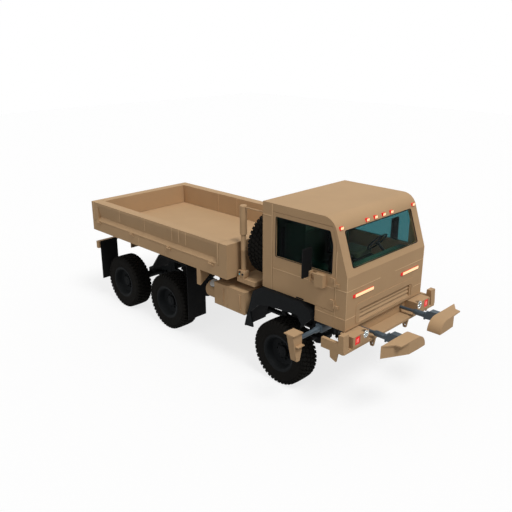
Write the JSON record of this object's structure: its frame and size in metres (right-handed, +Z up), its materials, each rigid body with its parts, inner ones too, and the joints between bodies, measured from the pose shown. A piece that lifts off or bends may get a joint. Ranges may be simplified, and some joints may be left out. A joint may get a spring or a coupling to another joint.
{
  "type": "military cargo truck",
  "caption": "Cab-over off-road military cargo truck with drop-side open bed, spare wheel behind the cab, lugged tyres and short shoe-tipped arms ahead of the bumper.",
  "frame": {"origin": "middle of the bounding box's bottom, on the ground under the tyres", "axes": "+X points to the truck's front, +Y to its left, +Z up"},
  "size_m": [7.56, 3.0194, 3.0959],
  "materials": {
    "chassis_paint": "matt near-black anti-rust paint over rolled steel",
    "cast_iron": "raw dark casting",
    "tan_paint": "matt sand paint, faintly dusty",
    "black_paint": "semi-matt black enamel",
    "slate_paint": "semi-matt slate paint",
    "tyre_rubber": "matt black rubber",
    "flap_rubber": "matt black rubber sheet",
    "window_glass": "clear glass with a faint blue-green tint",
    "mirror_shell": "matt black moulded shell",
    "lamp_chrome": "bright reflector behind clear lens",
    "lamp_red": "glossy red lens, lit",
    "dash_plastic": "dark green moulded plastic",
    "seat_metal": "matt black seat pan",
    "seat_cloth": "olive woven cloth over padding"
  },
  "bodies": {
    "chassis": {"frame_rails": "chassis_paint", "front_axle": "chassis_paint", "rear_axles": "chassis_paint", "front_springs": "chassis_paint", "bogie_springs": "chassis_paint", "driveline": "chassis_paint", "spare_carrier": "chassis_paint", "engine_block": "cast_iron", "cab_shell": "tan_paint", "grille": "tan_paint", "front_bumper": "tan_paint", "bed_frame": "tan_paint", "bed_floor": "tan_paint", "rear_crossbar": "tan_paint", "tool_box": "tan_paint", "air_tank": "tan_paint", "fuel_tank": "tan_paint", "intake_stack": "tan_paint", "shoes": "tan_paint", "front_fenders": "black_paint", "grille_back": "black_paint", "spare_rim": "black_paint", "slate_arms": "slate_paint", "spare_tyre": "tyre_rubber", "mud_flaps": "flap_rubber", "cab_glass": "window_glass", "headlights": "lamp_chrome", "red_lamps": "lamp_red", "dashboard": "dash_plastic", "steering_wheel": "dash_plastic", "seat_frames": "seat_metal", "seat_cushions": "seat_cloth", "seat_backs": "seat_cloth"},
    "knuckle_l": {"knuckle_l": "chassis_paint"},
    "knuckle_r": {"knuckle_r": "chassis_paint"},
    "door_l": {"door_l": "tan_paint", "glass_l": "window_glass", "mirror_l": "mirror_shell"},
    "door_r": {"door_r": "tan_paint", "glass_r": "window_glass", "mirror_r": "mirror_shell"},
    "side_board_l": {"side_board_l": "tan_paint"},
    "side_board_r": {"side_board_r": "tan_paint"},
    "tailgate": {"tailgate": "tan_paint"},
    "wheel_front_l": {"tyre_front_l": "tyre_rubber", "rim_front_l": "black_paint"},
    "wheel_front_r": {"tyre_front_r": "tyre_rubber", "rim_front_r": "black_paint"},
    "wheel_middle_l": {"tyre_middle_l": "tyre_rubber", "rim_middle_l": "black_paint"},
    "wheel_middle_r": {"tyre_middle_r": "tyre_rubber", "rim_middle_r": "black_paint"},
    "wheel_rear_l": {"tyre_rear_l": "tyre_rubber", "rim_rear_l": "black_paint"},
    "wheel_rear_r": {"tyre_rear_r": "tyre_rubber", "rim_rear_r": "black_paint"}
  },
  "joints": [
    {"name": "steer_l", "type": "hinge", "parent": "chassis", "child": "knuckle_l", "pos_m": [1.62, 0.9853, 0.564], "axis": [0, 0, 1], "range_deg": [-28, 28]},
    {"name": "steer_r", "type": "hinge", "parent": "chassis", "child": "knuckle_r", "pos_m": [1.62, -0.5747, 0.564], "axis": [0, 0, 1], "range_deg": [-28, 28]},
    {"name": "spin_front_l", "type": "hinge", "parent": "knuckle_l", "child": "wheel_front_l", "pos_m": [1.62, 1.1588, 0.564], "axis": [0, 1, 0], "continuous": true},
    {"name": "spin_front_r", "type": "hinge", "parent": "knuckle_r", "child": "wheel_front_r", "pos_m": [1.62, -0.7482, 0.564], "axis": [0, 1, 0], "continuous": true},
    {"name": "spin_middle_l", "type": "hinge", "parent": "chassis", "child": "wheel_middle_l", "pos_m": [-1.399, 1.1588, 0.564], "axis": [0, 1, 0], "continuous": true},
    {"name": "spin_middle_r", "type": "hinge", "parent": "chassis", "child": "wheel_middle_r", "pos_m": [-1.399, -0.7482, 0.564], "axis": [0, 1, 0], "continuous": true},
    {"name": "spin_rear_l", "type": "hinge", "parent": "chassis", "child": "wheel_rear_l", "pos_m": [-2.931, 1.1588, 0.564], "axis": [0, 1, 0], "continuous": true},
    {"name": "spin_rear_r", "type": "hinge", "parent": "chassis", "child": "wheel_rear_r", "pos_m": [-2.931, -0.7482, 0.564], "axis": [0, 1, 0], "continuous": true},
    {"name": "door_l_swing", "type": "hinge", "parent": "chassis", "child": "door_l", "pos_m": [2.69, 1.2873, 2.2], "axis": [0, 0, -1], "range_deg": [0, 70]},
    {"name": "door_r_swing", "type": "hinge", "parent": "chassis", "child": "door_r", "pos_m": [2.69, -0.8767, 2.2], "axis": [0, 0, 1], "range_deg": [0, 70]},
    {"name": "side_board_l_drop", "type": "hinge", "parent": "chassis", "child": "side_board_l", "pos_m": [-1.683, 1.4993, 1.818], "axis": [-1, 0, 0], "range_deg": [0, 175]},
    {"name": "side_board_r_drop", "type": "hinge", "parent": "chassis", "child": "side_board_r", "pos_m": [-1.683, -1.0887, 1.818], "axis": [1, 0, 0], "range_deg": [0, 175]},
    {"name": "tailgate_drop", "type": "hinge", "parent": "chassis", "child": "tailgate", "pos_m": [-3.724, 0.2053, 1.818], "axis": [0, -1, 0], "range_deg": [0, 175]}
  ],
  "couplings": [
    {"joint": "steer_r", "follows": "steer_l", "ratio": 1}
  ]
}
